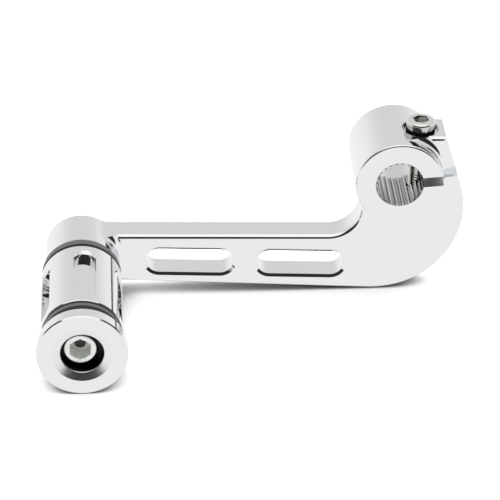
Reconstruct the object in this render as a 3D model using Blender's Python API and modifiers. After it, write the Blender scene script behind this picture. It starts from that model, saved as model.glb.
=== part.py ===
"""Motorcycle gear shift lever with a bolted toe peg. Metres, +Z up.

Everything is built level first: X along the arm, Y from the end cap to the hub, Z up, with
the origin on the peg axis, at the front face of the cap. At the end it is leaned about the
peg axis, so that the rim of the cap and the curve under the hub both rest on Z = 0, and
centred over the origin.
"""

import math

import bmesh
import bpy
from mathutils import Matrix, Vector

MM = 0.001
FIT_GAP = 0.30 * MM
# Where two shapes of one machined piece overlap, one of them is this much smaller
FLUSH = 0.05 * MM
# How far a cutter runs past the face that it cuts, and how far one shape reaches into another
OVERRUN = 1.0 * MM
BURIED = 0.5 * MM

# Lever: arm, slots and the curve under the hub
HUB_X = 107.06 * MM
HUB_Z = 32.91 * MM
HUB_RADIUS = 15.0 * MM
HUB_FRONT_STEP = 5.8 * MM
HUB_LENGTH = 30.0 * MM
HUB_COVE = 2.6 * MM
HUB_RIM_ROUND = 0.7 * MM
HUB_REAR_BREAK = 0.3 * MM
ARM_TOP = 9.6 * MM
ARM_DROP = 7.93 * MM
ARM_THICKNESS = 9.8 * MM
ARM_EDGE_ROUND = 1.5 * MM
ARM_TAPER = math.radians(2.09)
INNER_FILLET = 11.0 * MM
CURVE_RADIUS = 30.69 * MM
CURVE_BEYOND = 23.45 * MM
CURVE_END = math.radians(13.5)
EAR_BEYOND = 15.54 * MM
EAR_DROP = 0.15 * MM
EAR_THICKNESS = 14.0 * MM
EAR_REAR_BREAK = 0.4 * MM
SLOT_LENGTH = 30.0 * MM
SLOT_HEIGHT = 9.2 * MM
SLOT_SLOPE = math.radians(-1.0)
FIRST_SLOT_X = 37.1 * MM
SLOT_PITCH = 38.1 * MM
SLOT_DROP = 0.9 * MM
SLOT_RIM_WIDTH = 1.0 * MM
SLOT_RIM_DEPTH = 0.6 * MM
SLIT_WIDTH = 3.5 * MM
SLIT_SLOPE = math.radians(5.5)

# Lever: boss that carries the peg
BOSS_RADIUS = 12.25 * MM
BOSS_PROUD = 7.8 * MM
BOSS_COVE = 3.0 * MM
BOSS_RIM_ROUND = 0.9 * MM
BOSS_FILLET = 4.0 * MM
SPIGOT_RADIUS = 10.0 * MM
SPIGOT_CHAMFER = 0.4 * MM
PEG_HOLE_CHAMFER = 0.6 * MM

# Splined bore of the hub
SPLINE_COUNT = 24
SPLINE_ROOT_RADIUS = 8.15 * MM
SPLINE_DEPTH = 0.55 * MM
SPLINE_LENGTH = 20.0 * MM
BORE_CHAMFER = 0.8 * MM

# Socket head bolts
HEAD_CHAMFER = 0.3 * MM
THREAD_CHAMFER = 0.8 * MM
SOCKET_LEAD = 0.15 * MM

# Clamp bolt
CLAMP_BEYOND = 7.34 * MM
CLAMP_HOLE_BEYOND = 2.0 * MM
CLAMP_THREAD_RADIUS = 3.0 * MM
CLAMP_HEAD_RADIUS = 5.0 * MM
CLAMP_HEAD_HEIGHT = 6.0 * MM
CLAMP_HEAD_ROUND = 1.0 * MM
CLAMP_HEAD_SUNK = 2.5 * MM
CLAMP_HEX = 5.0 * MM
CLAMP_HEX_DEPTH = 3.2 * MM
CLAMP_HEX_TURN = math.radians(42)
CLAMP_LENGTH = 20.0 * MM
COUNTERBORE_RADIUS = 6.25 * MM

# Toe peg: sleeve, rubber rings, end cap and bolt
CAP_RADIUS = 14.9 * MM
CAP_THICKNESS = 5.0 * MM
CAP_CHAMFER = 0.35 * MM
CAP_DISH_RADIUS = 9.8 * MM
CAP_DISH_DEPTH = 1.0 * MM
CAP_DISH_ROUND = 0.5 * MM
CAP_RECESS_RADIUS = 7.1 * MM
CAP_NECK_RADIUS = 11.8 * MM
CAP_NECK_LENGTH = 1.4 * MM
RING_RADIUS = 13.4 * MM
RING_WIDTH = 5.1 * MM
RING_ROUND = 1.3 * MM
SLEEVE_RADIUS = 13.6 * MM
SLEEVE_LENGTH = 34.8 * MM
SLEEVE_RIM = 0.2 * MM
POCKET_COUNT = 5
POCKET_TURN = math.radians(4.3)
POCKET_LENGTH = 27.3 * MM
POCKET_WIDTH = 7.1 * MM
POCKET_DEPTH = 2.9 * MM
POCKET_START = 3.4 * MM
POCKET_CHAMFER = 0.9 * MM
PEG_THREAD_RADIUS = 4.0 * MM
PEG_HEAD_RADIUS = 5.55 * MM
PEG_HEAD_HEIGHT = 5.2 * MM
PEG_HEAD_ROUND = 0.6 * MM
PEG_HEAD_RECESS = 3.7 * MM
PEG_HEX = 6.8 * MM
PEG_HEX_DEPTH = 4.2 * MM
PEG_HEX_TURN = math.radians(90)
PEG_OFFSET = -0.6 * MM
PEG_TIP_RECESS = 1.2 * MM

# Places along the peg axis, each worked out from the one before
NECK_END = CAP_THICKNESS + CAP_NECK_LENGTH
FRONT_RING_START = NECK_END + FIT_GAP
FRONT_RING_END = FRONT_RING_START + RING_WIDTH
SLEEVE_START = FRONT_RING_END + FIT_GAP
SLEEVE_END = SLEEVE_START + SLEEVE_LENGTH
REAR_RING_START = SLEEVE_END + FIT_GAP
REAR_RING_END = REAR_RING_START + RING_WIDTH
BOSS_FRONT = REAR_RING_END + FIT_GAP
ARM_FRONT = BOSS_FRONT + BOSS_PROUD
ARM_REAR = ARM_FRONT + ARM_THICKNESS
EAR_REAR = ARM_FRONT + EAR_THICKNESS
HUB_FRONT = ARM_FRONT - HUB_FRONT_STEP
HUB_REAR = HUB_FRONT + HUB_LENGTH

# The curve under the hub, the ear and the clamp bolt each end or stand beyond the hub's axis
CURVE_REACH = HUB_X + CURVE_BEYOND
EAR_CORNER_X = HUB_X + EAR_BEYOND
CLAMP_X = HUB_X + CLAMP_BEYOND
# The curve touches the arm's lower side
CURVE_X = CURVE_REACH - CURVE_RADIUS
CURVE_Z = (CURVE_RADIUS - ARM_DROP - CURVE_X * math.sin(ARM_TAPER)) / math.cos(ARM_TAPER)
EAR_TOP = HUB_Z + HUB_RADIUS - EAR_DROP
CLAMP_Y = ARM_FRONT + EAR_THICKNESS / 2
CLAMP_SEAT = EAR_TOP - CLAMP_HEAD_SUNK
CLAMP_TIP = CLAMP_SEAT - CLAMP_LENGTH
CREST_RADIUS = SPLINE_ROOT_RADIUS - SPLINE_DEPTH
HEAD_SEAT = PEG_HEAD_RECESS + PEG_HEAD_HEIGHT + FIT_GAP
PEG_TIP = ARM_REAR - PEG_TIP_RECESS
PEG_HOLE_RADIUS = PEG_THREAD_RADIUS + FIT_GAP + abs(PEG_OFFSET)

# Profiles stand along Z: the first matrix points them backwards along Y, the second one forwards
BACKWARD = Matrix.Rotation(math.radians(-90), 4, "X")
FORWARD = Matrix.Rotation(math.radians(90), 4, "X")


def make_collection(name):
    collection = bpy.data.collections.new(name)
    bpy.context.scene.collection.children.link(collection)
    return collection


def make_material(name, color, metallic, roughness):
    material = bpy.data.materials.new(name)
    material.use_nodes = True
    shader = material.node_tree.nodes["Principled BSDF"]
    shader.inputs["Base Color"].default_value = (*color, 1.0)
    shader.inputs["Metallic"].default_value = metallic
    shader.inputs["Roughness"].default_value = roughness
    return material


def face_outwards(work):
    bmesh.ops.recalc_face_normals(work, faces=work.faces)
    if work.calc_volume(signed=True) < 0:
        bmesh.ops.reverse_faces(work, faces=work.faces)


def evaluated_mesh(obj):
    """The mesh that the object and its modifiers make. The object is removed."""
    bpy.context.scene.collection.objects.link(obj)
    bpy.context.view_layer.update()
    graph = bpy.context.evaluated_depsgraph_get()
    mesh = bpy.data.meshes.new_from_object(obj.evaluated_get(graph))
    bpy.data.objects.remove(obj)
    work = bmesh.new()
    work.from_mesh(mesh)
    bmesh.ops.remove_doubles(work, verts=work.verts, dist=1e-7)
    face_outwards(work)
    work.to_mesh(mesh)
    work.free()
    return mesh


def arc(center, radius, start, end, steps):
    turns = [start + (end - start) * i / steps for i in range(steps + 1)]
    return [(center[0] + radius * math.cos(t), center[1] + radius * math.sin(t)) for t in turns]


def inset(points, distance):
    """The closed anticlockwise outline, moved inwards by the distance."""
    moved = []
    for i, point in enumerate(points):
        here = Vector(point)
        before = (here - Vector(points[i - 1])).normalized()
        after = (Vector(points[(i + 1) % len(points)]) - here).normalized()
        inward = Vector((-before.y - after.y, before.x + after.x))
        moved.append(tuple(here + inward * (distance / (1 + before.dot(after)))))
    return moved


def plate(name, points, start, end):
    """An outline in X and Z, filled between two places on Y."""
    curve = bpy.data.curves.new(name, "CURVE")
    curve.dimensions = "2D"
    curve.fill_mode = "BOTH"
    curve.extrude = (end - start) / 2
    spline = curve.splines.new("POLY")
    spline.points.add(len(points) - 1)
    for spot, point in zip(spline.points, points):
        spot.co = (point[0], point[1], 0.0, 1.0)
    spline.use_cyclic_u = True
    mesh = evaluated_mesh(bpy.data.objects.new(name, curve))
    mesh.transform(Matrix.Translation((0, (start + end) / 2, 0)) @ FORWARD)
    return bpy.data.objects.new(name, mesh)


def rounded_rim(points, radius, level, inwards, steps):
    """Outlines and places of a rounded rim, from its flat face at the level to its side."""
    turns = [math.pi / 2 * i / steps for i in range(steps + 1)]
    sizes = [(radius * (1 - math.sin(t)), level + inwards * radius * (1 - math.cos(t))) for t in turns]
    return [(inset(points, smaller), place) for smaller, place in sizes]


def lofted(name, rings):
    """A solid through several outlines, each at its own place on Y."""
    work = bmesh.new()
    loops = []
    for outline, level in rings:
        corners = [work.verts.new((x, level, z)) for x, z in outline]
        loops.append([work.edges.new((corners[i - 1], corners[i])) for i in range(len(corners))])
    for before, after in zip(loops, loops[1:]):
        bmesh.ops.bridge_loops(work, edges=before + after)
    bmesh.ops.holes_fill(work, edges=loops[0] + loops[-1], sides=0)
    face_outwards(work)
    mesh = bpy.data.meshes.new(name)
    work.to_mesh(mesh)
    work.free()
    return bpy.data.objects.new(name, mesh)


def turned(name, profile, steps, place):
    """A profile of (radius, height) points turned round Z, then put in its place."""
    mesh = bpy.data.meshes.new(name)
    points = [(radius, 0.0, height) for radius, height in profile]
    mesh.from_pydata(points, [(i, i + 1) for i in range(len(points) - 1)], [])
    obj = bpy.data.objects.new(name, mesh)
    screw = obj.modifiers.new("turn", "SCREW")
    screw.steps = steps
    screw.render_steps = steps
    screw.use_merge_vertices = True
    screw.merge_threshold = 1e-6
    solid = evaluated_mesh(obj)
    solid.transform(place)
    return bpy.data.objects.new(name, solid)


def boolean(target, tool, operation):
    tool.hide_render = True
    tool.display_type = "WIRE"
    CUTTERS.objects.link(tool)
    step = target.modifiers.new(tool.name, "BOOLEAN")
    step.operation = operation
    step.solver = "EXACT"
    step.object = tool


def add_node(obj, material):
    obj.data.materials.clear()
    obj.data.materials.append(material)
    ASSEMBLY.objects.link(obj)
    return obj


def prism(name, points, start, end):
    """An outline in X and Y, filled between two heights."""
    obj = plate(name, points, -end, -start)
    obj.data.transform(BACKWARD)
    return obj


def stadium(length, height, center, slope):
    radius = height / 2
    middle = Vector(center)
    reach = Vector((math.cos(slope), math.sin(slope))) * (length / 2 - radius)
    up = slope + math.pi / 2
    points = arc(middle + reach, radius, up - math.pi, up, 10)
    return points + arc(middle - reach, radius, up, up + math.pi, 10)


def arm_outline():
    """The arm, the curve under the hub and the clamp ear as one anticlockwise outline."""
    boss = BOSS_RADIUS - FLUSH
    blend = boss + BOSS_FILLET
    top_z = ARM_TOP + BOSS_FILLET
    top_x = math.sqrt(blend**2 - top_z**2)
    top_turn = math.atan2(top_z, top_x)
    along = Vector((math.cos(ARM_TAPER), -math.sin(ARM_TAPER)))
    below = Vector((-math.sin(ARM_TAPER), -math.cos(ARM_TAPER)))
    depth = Vector((CURVE_X, CURVE_Z)).dot(below) + CURVE_RADIUS + BOSS_FILLET
    low = along * math.sqrt(blend**2 - depth**2) + below * depth
    low_turn = math.atan2(low.y, low.x)
    inner_z = ARM_TOP + INNER_FILLET
    inner_x = HUB_X - math.sqrt((HUB_RADIUS - FLUSH + INNER_FILLET) ** 2 - (HUB_Z - inner_z) ** 2)
    inner_turn = math.atan2(HUB_Z - inner_z, HUB_X - inner_x)
    buried = (HUB_X - 0.54 * HUB_RADIUS, HUB_Z + 0.54 * HUB_RADIUS)
    points = arc((0, 0), boss, top_turn, low_turn + 2 * math.pi, 32)
    points += arc(low, BOSS_FILLET, low_turn + math.pi, math.pi / 2 - ARM_TAPER, 5)[1:]
    points += arc((CURVE_X, CURVE_Z), CURVE_RADIUS, -math.pi / 2 - ARM_TAPER, CURVE_END, 28)
    points += [(EAR_CORNER_X, EAR_TOP), (HUB_X, EAR_TOP), buried]
    points += arc((inner_x, inner_z), INNER_FILLET, inner_turn, -math.pi / 2, 9)
    points += arc((top_x, top_z), BOSS_FILLET, -math.pi / 2, top_turn - math.pi, 5)[:-1]
    return points


def relief_outline():
    """All that is thinner than the pad round the clamp bolt: the arm, and all below the pad."""
    left = -2 * BOSS_RADIUS
    right = CURVE_REACH + 2 * BOSS_RADIUS
    bottom = -2 * CURVE_RADIUS
    top = EAR_TOP + HUB_RADIUS
    step_x = HUB_X - 0.25 * HUB_RADIUS
    step_z = HUB_Z - 0.9 * HUB_RADIUS
    return [(left, bottom), (right, bottom), (right, step_z), (step_x, step_z), (step_x, top), (left, top)]


def spline_outline():
    step = 2 * math.pi / SPLINE_COUNT
    points = []
    for i in range(SPLINE_COUNT):
        for radius, share in (
            (CREST_RADIUS, -0.36),
            (CREST_RADIUS, -0.14),
            (SPLINE_ROOT_RADIUS, 0.03),
            (SPLINE_ROOT_RADIUS, 0.47),
        ):
            turn = (i + share) * step
            points.append((HUB_X + radius * math.cos(turn), HUB_Z + radius * math.sin(turn)))
    return points


def collar(name, radius, cove, steps, center, outline):
    """The cove between a round part and the front of the arm, kept inside the outline."""
    back = ARM_FRONT + ARM_EDGE_ROUND + BURIED / 2
    middle = (radius + cove - FLUSH, ARM_FRONT - cove + FLUSH)
    hollow = arc(middle, cove, math.pi, math.pi / 2, 5)
    profile = [(0, hollow[0][1])] + hollow + [(hollow[-1][0], back), (0, back)]
    # Turned by half a step, so that its edges fall between those of the part that it hugs
    place = Matrix.Translation((center[0], 0, center[1])) @ BACKWARD
    body = turned(name, profile, steps, place @ Matrix.Rotation(math.pi / steps, 4, "Z"))
    # Set a little aside, so that no edge of it meets an edge of the arm's rounded rim
    trim = plate(name + "_trim", inset(outline, FLUSH), HUB_FRONT, ARM_REAR - BURIED)
    trim.data.transform(Matrix.Translation((0.4 * FLUSH, 0, 0.25 * FLUSH)))
    boolean(body, trim, "INTERSECT")
    return body


def build_lever():
    outline = arm_outline()
    rings = rounded_rim(outline, ARM_EDGE_ROUND, ARM_FRONT, 1, 3)
    rings += rounded_rim(outline, EAR_REAR_BREAK, EAR_REAR, -1, 1)[::-1]
    lever = add_node(lofted("shift_lever", rings), CHROME)
    boolean(lever, plate("rear_relief", relief_outline(), ARM_REAR, EAR_REAR + OVERRUN), "DIFFERENCE")

    for i, name in enumerate(("first_slot", "second_slot")):
        x = FIRST_SLOT_X + i * SLOT_PITCH
        z = (x - FIRST_SLOT_X - SLOT_PITCH / 2) * math.tan(SLOT_SLOPE) - SLOT_DROP
        shape = stadium(SLOT_LENGTH, SLOT_HEIGHT, (x, z), SLOT_SLOPE)
        over = SLOT_RIM_DEPTH / 2
        flared = inset(shape, -SLOT_RIM_WIDTH * (1 + over / SLOT_RIM_DEPTH))
        rings = [(flared, ARM_FRONT - over), (shape, ARM_FRONT + SLOT_RIM_DEPTH)]
        rings += [(shape, ARM_REAR - SLOT_RIM_DEPTH), (flared, ARM_REAR + over)]
        boolean(lever, lofted(name, rings), "DIFFERENCE")

    at_hub = Matrix.Translation((HUB_X, 0, HUB_Z)) @ BACKWARD
    rim = HUB_RADIUS - HUB_RIM_ROUND
    hub_profile = [(0, HUB_FRONT)]
    hub_profile += arc((rim, HUB_FRONT + HUB_RIM_ROUND), HUB_RIM_ROUND, -math.pi / 2, 0, 3)
    hub_profile += [(HUB_RADIUS, HUB_REAR - HUB_REAR_BREAK), (HUB_RADIUS - HUB_REAR_BREAK, HUB_REAR)]
    hub_profile += [(0, HUB_REAR)]
    boolean(lever, turned("hub", hub_profile, 72, at_hub), "UNION")

    at_peg = BACKWARD
    boss_back = ARM_FRONT + ARM_EDGE_ROUND + BURIED
    boss_profile = [(0, REAR_RING_START), (SPIGOT_RADIUS - SPIGOT_CHAMFER, REAR_RING_START)]
    boss_profile += [(SPIGOT_RADIUS, REAR_RING_START + SPIGOT_CHAMFER), (SPIGOT_RADIUS, BOSS_FRONT)]
    rim = BOSS_RADIUS - BOSS_RIM_ROUND
    boss_profile += arc((rim, BOSS_FRONT + BOSS_RIM_ROUND), BOSS_RIM_ROUND, -math.pi / 2, 0, 3)
    boss_profile += [(BOSS_RADIUS, boss_back), (0, boss_back)]
    boolean(lever, turned("boss", boss_profile, 64, at_peg), "UNION")
    boolean(lever, collar("boss_cove", BOSS_RADIUS, BOSS_COVE, 64, (0, 0), outline), "UNION")
    boolean(lever, collar("hub_cove", HUB_RADIUS, HUB_COVE, 72, (HUB_X, HUB_Z), outline), "UNION")

    spline_end = HUB_FRONT + SPLINE_LENGTH
    boolean(lever, plate("spline_cutter", spline_outline(), HUB_FRONT - OVERRUN, spline_end), "DIFFERENCE")
    plain = SPLINE_ROOT_RADIUS + FLUSH
    inside = spline_end - OVERRUN
    beyond = HUB_REAR + OVERRUN
    bore_profile = [(0, inside), (plain, inside), (plain, HUB_REAR - BORE_CHAMFER)]
    bore_profile += [(plain + BORE_CHAMFER + OVERRUN, beyond), (0, beyond)]
    boolean(lever, turned("rear_bore", bore_profile, 48, at_hub), "DIFFERENCE")

    reach = 2 * CURVE_RADIUS
    slit = plate("slit", rectangle(0, reach, SLIT_WIDTH), HUB_FRONT - OVERRUN, beyond)
    slit.data.transform(Matrix.Translation((HUB_X, 0, HUB_Z)) @ Matrix.Rotation(-SLIT_SLOPE, 4, "Y"))
    boolean(lever, slit, "DIFFERENCE")

    hole = CLAMP_THREAD_RADIUS + FIT_GAP
    bottom = CLAMP_TIP - CLAMP_HOLE_BEYOND
    above = EAR_TOP + 2 * OVERRUN
    clamp_profile = [(0, bottom - hole * 0.6), (hole, bottom), (hole, CLAMP_SEAT - FIT_GAP)]
    clamp_profile += [(COUNTERBORE_RADIUS, CLAMP_SEAT - FIT_GAP), (COUNTERBORE_RADIUS, above), (0, above)]
    at_clamp = Matrix.Translation((CLAMP_X, CLAMP_Y, 0))
    boolean(lever, turned("clamp_hole", clamp_profile, 32, at_clamp), "DIFFERENCE")

    hole = PEG_THREAD_RADIUS + FIT_GAP
    before = REAR_RING_START - OVERRUN
    beyond = ARM_REAR + OVERRUN
    peg_profile = [(0, before), (hole, before), (hole, ARM_REAR - PEG_HOLE_CHAMFER)]
    peg_profile += [(hole + PEG_HOLE_CHAMFER + OVERRUN, beyond), (0, beyond)]
    at_bolt = Matrix.Translation((PEG_OFFSET, 0, 0)) @ at_peg
    boolean(lever, turned("peg_hole", peg_profile, 32, at_bolt), "DIFFERENCE")
    return lever


def rectangle(start, end, height):
    return [(start, -height / 2), (end, -height / 2), (end, height / 2), (start, height / 2)]


def hexagon(across_flats, turn):
    return arc((0, 0), across_flats / math.sqrt(3), turn, turn + math.pi * 5 / 3, 5)


def socket_bolt(name, head, thread, length, socket, place, material):
    """A socket head cap screw that hangs down from Z = 0, the top of its head."""
    head_radius, head_height, rounding = head
    flats, depth, turn = socket
    seat = -head_height
    tip = seat - length
    profile = [(0, 0)] + arc((head_radius - rounding, -rounding), rounding, math.pi / 2, 0, 3)
    profile += [(head_radius, seat + HEAD_CHAMFER), (head_radius - HEAD_CHAMFER, seat), (thread, seat)]
    profile += [(thread, tip + THREAD_CHAMFER), (thread - THREAD_CHAMFER, tip), (0, tip)]
    bolt = turned(name, profile, 36, place)

    recess = prism(name + "_socket", hexagon(flats, turn), -depth, OVERRUN)
    recess.data.transform(place)
    boolean(bolt, recess, "DIFFERENCE")
    across = flats / 2 - FLUSH
    bottom = [(0, -depth - across * 0.45), (across, -depth), (across, -OVERRUN), (0, -OVERRUN)]
    boolean(bolt, turned(name + "_drill", bottom, 24, place), "DIFFERENCE")
    flare = flats / math.sqrt(3) + SOCKET_LEAD
    lead = [(0, -flare / 2), (flare + OVERRUN, OVERRUN / 2), (0, OVERRUN / 2)]
    shift = Matrix.Translation((0, 0, flare / 2 - OVERRUN / 4))
    boolean(bolt, turned(name + "_lead", lead, 36, place @ shift), "DIFFERENCE")
    return add_node(bolt, material)


def build_peg():
    recess_round = CAP_DISH_ROUND
    cap_profile = [(CAP_RADIUS, CAP_CHAMFER), (CAP_RADIUS, CAP_THICKNESS - CAP_CHAMFER)]
    cap_profile += [(CAP_RADIUS - CAP_CHAMFER, CAP_THICKNESS), (CAP_NECK_RADIUS, CAP_THICKNESS)]
    cap_profile += [(CAP_NECK_RADIUS, NECK_END), (SPIGOT_RADIUS, NECK_END)]
    cap_profile += [(SPIGOT_RADIUS, FRONT_RING_END), (PEG_HOLE_RADIUS, FRONT_RING_END)]
    cap_profile += [(PEG_HOLE_RADIUS, HEAD_SEAT), (CAP_RECESS_RADIUS, HEAD_SEAT)]
    slope = math.atan2(CAP_DISH_DEPTH, CAP_DISH_RADIUS - CAP_RECESS_RADIUS - recess_round)
    rim = (CAP_RECESS_RADIUS + recess_round, CAP_DISH_DEPTH + recess_round * 0.9)
    cap_profile += arc(rim, recess_round, math.pi, math.pi * 1.5 - slope, 3)
    cap_profile += [(CAP_DISH_RADIUS, 0), (CAP_RADIUS - CAP_CHAMFER, 0), (CAP_RADIUS, CAP_CHAMFER)]
    add_node(turned("end_cap", cap_profile, 64, BACKWARD), CHROME_CAP)

    for name, start in (("front_ring", FRONT_RING_START), ("rear_ring", REAR_RING_START)):
        inner = SPIGOT_RADIUS + FIT_GAP
        end = start + RING_WIDTH
        ring_profile = [(inner, start)]
        ring_profile += arc((RING_RADIUS - RING_ROUND, start + RING_ROUND), RING_ROUND, -math.pi / 2, 0, 3)
        ring_profile += arc((RING_RADIUS - RING_ROUND, end - RING_ROUND), RING_ROUND, 0, math.pi / 2, 3)
        ring_profile += [(inner, end), (inner, start)]
        add_node(turned(name, ring_profile, 48, BACKWARD), RUBBER)

    sleeve_profile = [(PEG_HOLE_RADIUS, SLEEVE_START), (SLEEVE_RADIUS - SLEEVE_RIM, SLEEVE_START)]
    sleeve_profile += [(SLEEVE_RADIUS, SLEEVE_START + SLEEVE_RIM), (SLEEVE_RADIUS, SLEEVE_END - SLEEVE_RIM)]
    sleeve_profile += [(SLEEVE_RADIUS - SLEEVE_RIM, SLEEVE_END), (PEG_HOLE_RADIUS, SLEEVE_END)]
    sleeve_profile += [(PEG_HOLE_RADIUS, SLEEVE_START)]
    sleeve = add_node(turned("peg_sleeve", sleeve_profile, 90, BACKWARD), CHROME_SLEEVE)
    floor = SLEEVE_RADIUS - POCKET_DEPTH
    lead = SLEEVE_RADIUS - POCKET_CHAMFER
    beyond = SLEEVE_RADIUS + OVERRUN
    middle = SLEEVE_START + POCKET_START + POCKET_LENGTH / 2
    shape = stadium(POCKET_LENGTH, POCKET_WIDTH, (0, middle), math.pi / 2)
    flare = 2 * (beyond - lead)
    wide = stadium(POCKET_LENGTH + 1.3 * flare, POCKET_WIDTH + 0.4 * flare, (0, middle), math.pi / 2)
    for i in range(POCKET_COUNT):
        cutter = lofted(f"pocket_{i + 1}", [(shape, -floor), (shape, -lead), (wide, -beyond)])
        turn = Matrix.Rotation(POCKET_TURN + i * 2 * math.pi / POCKET_COUNT, 4, "Y")
        cutter.data.transform(turn @ BACKWARD)
        boolean(sleeve, cutter, "DIFFERENCE")

    head = (PEG_HEAD_RADIUS, PEG_HEAD_HEIGHT, PEG_HEAD_ROUND)
    socket = (PEG_HEX, PEG_HEX_DEPTH, PEG_HEX_TURN)
    length = PEG_TIP - PEG_HEAD_RECESS - PEG_HEAD_HEIGHT
    place = Matrix.Translation((PEG_OFFSET, PEG_HEAD_RECESS, 0)) @ FORWARD
    socket_bolt("peg_bolt", head, PEG_THREAD_RADIUS, length, socket, place, ZINC)


def rest_lean():
    """The turn about the peg axis that brings the curve under the hub level with the cap."""
    drop = (CURVE_RADIUS - CAP_RADIUS) / math.hypot(CURVE_X, CURVE_Z)
    return math.acos(drop) - math.atan2(CURVE_X, CURVE_Z)


for old in list(bpy.data.objects):
    bpy.data.objects.remove(old, do_unlink=True)

CUTTERS = make_collection("cutters")
ASSEMBLY = make_collection("gear_shift_lever")
CHROME = make_material("lever_chrome", (0.78, 0.79, 0.80), 1.0, 0.06)
CHROME_CAP = make_material("cap_chrome", (0.80, 0.80, 0.81), 1.0, 0.08)
CHROME_SLEEVE = make_material("sleeve_chrome", (0.80, 0.80, 0.81), 1.0, 0.07)
STEEL = make_material("clamp_bolt_steel", (0.62, 0.61, 0.58), 1.0, 0.22)
ZINC = make_material("peg_bolt_zinc", (0.72, 0.74, 0.74), 1.0, 0.28)
RUBBER = make_material("ring_rubber", (0.10, 0.10, 0.105), 0.0, 0.55)

build_lever()
build_peg()
socket_bolt(
    "clamp_bolt",
    (CLAMP_HEAD_RADIUS, CLAMP_HEAD_HEIGHT, CLAMP_HEAD_ROUND),
    CLAMP_THREAD_RADIUS,
    CLAMP_LENGTH,
    (CLAMP_HEX, CLAMP_HEX_DEPTH, CLAMP_HEX_TURN),
    Matrix.Translation((CLAMP_X, CLAMP_Y, CLAMP_SEAT + CLAMP_HEAD_HEIGHT)),
    STEEL,
)

lean = Matrix.Rotation(rest_lean(), 4, "Y")
right = max((lean @ Vector((x, 0, z))).x for x, z in arm_outline())
at_rest = Matrix.Translation(((CAP_RADIUS - right) / 2, -HUB_REAR / 2, CAP_RADIUS)) @ lean
for made in bpy.data.objects:
    made.data.transform(at_rest)
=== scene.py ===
import math

import bmesh
import bpy
from mathutils import Matrix, Vector


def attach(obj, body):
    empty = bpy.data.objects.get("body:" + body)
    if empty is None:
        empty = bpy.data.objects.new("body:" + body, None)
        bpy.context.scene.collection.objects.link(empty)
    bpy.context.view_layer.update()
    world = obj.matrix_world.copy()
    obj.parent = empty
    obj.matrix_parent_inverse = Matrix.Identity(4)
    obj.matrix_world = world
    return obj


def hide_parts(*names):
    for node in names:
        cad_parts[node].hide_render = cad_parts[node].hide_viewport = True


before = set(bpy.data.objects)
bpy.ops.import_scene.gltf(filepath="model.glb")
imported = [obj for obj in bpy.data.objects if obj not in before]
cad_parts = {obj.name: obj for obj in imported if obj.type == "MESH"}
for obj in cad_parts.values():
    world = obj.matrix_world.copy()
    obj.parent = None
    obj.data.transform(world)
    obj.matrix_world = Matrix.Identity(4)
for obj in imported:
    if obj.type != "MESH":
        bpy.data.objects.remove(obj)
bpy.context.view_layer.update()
print("frame loaded:", ", ".join(sorted(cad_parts)))

mm = 0.001

# All sizes are in millimetres. Pieces are drawn level, with the peg's axis as the origin, and
# the whole lever is then leaned on to the curve under its hub and centred over the floor.
# A cutter goes on for a little outside the piece, and a zone of finish reaches just past its surface.
past = 1.0
flarePast = 0.3
skin = 0.02
deepSkin = 0.15
arm = {
    "top": 9.6,
    "front": 60.4,
    "rear": 70.2,
    "edgeRound": 1.5,
    "rearRound": 0.3,
    "taper": math.radians(2.09),
    "innerFillet": 11.0,
    "curveRadius": 30.69,
    "curveCenter": (99.82, 19.133),
    "curveEnd": math.radians(13.5),
    "earCorner": 122.6,
    "earDrop": 0.15,
    "earRear": 74.4,
    "earRound": 0.4,
    "overlap": 0.05,
}
hub = {
    "center": (107.06, 32.91),
    "radius": 15.0,
    "front": 54.6,
    "rear": 84.6,
    "rimRound": 0.7,
    "rearRound": 0.3,
    "cove": 2.6,
    "slitWidth": 3.5,
    "slitSlope": math.radians(5.5),
    "steps": 220,
}
earTop = hub["center"][1] + hub["radius"] - arm["earDrop"]
endCap = {
    "radius": 14.9,
    "thickness": 5.0,
    "chamfer": 0.35,
    "dishRadius": 9.8,
    "dishDepth": 1.0,
    "dishRound": 0.5,
    "recessRadius": 7.1,
    "recessDepth": 9.2,
    "neckRadius": 11.8,
    "neckEnd": 6.4,
    "spigotRadius": 10.0,
    "spigotEnd": 11.8,
    "boreRadius": 4.9,
    "steps": 256,
}

curveX, curveZ = arm["curveCenter"]
restTurn = math.acos((arm["curveRadius"] - endCap["radius"]) / math.hypot(curveX, curveZ))
restTurn -= math.atan2(curveX, curveZ)
rightEnd = curveX * math.cos(restTurn) + curveZ * math.sin(restTurn) + arm["curveRadius"]
restShift = Vector(((endCap["radius"] - rightEnd) / 2, -hub["rear"] / 2, endCap["radius"])) * mm
atRest = Matrix.Translation(restShift) @ Matrix.Rotation(restTurn, 4, "Y")
pegCenter = atRest @ Vector((0, 0, 0))
hubCenter = atRest @ Vector((hub["center"][0] * mm, 0, hub["center"][1] * mm))


def pick(obj):
    if bpy.context.mode != "OBJECT":
        bpy.ops.object.mode_set(mode="OBJECT")
    bpy.ops.object.select_all(action="DESELECT")
    obj.select_set(True)
    bpy.context.view_layer.objects.active = obj


def freeze(obj, place):
    pick(obj)
    obj.matrix_world = place
    bpy.ops.object.transform_apply(location=True, rotation=True, scale=True)


def arcPoints(center, radius, start, end, steps):
    turns = [start + (end - start) * i / steps for i in range(steps + 1)]
    return [(center[0] + radius * math.cos(t), center[1] + radius * math.sin(t)) for t in turns]


def insetOutline(points, distance):
    moved = []
    for i, point in enumerate(points):
        here = Vector(point)
        before = (here - Vector(points[i - 1])).normalized()
        after = (Vector(points[(i + 1) % len(points)]) - here).normalized()
        inward = Vector((-before.y - after.y, before.x + after.x))
        moved.append(tuple(here + inward * (distance / (1 + before.dot(after)))))
    return moved


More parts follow.
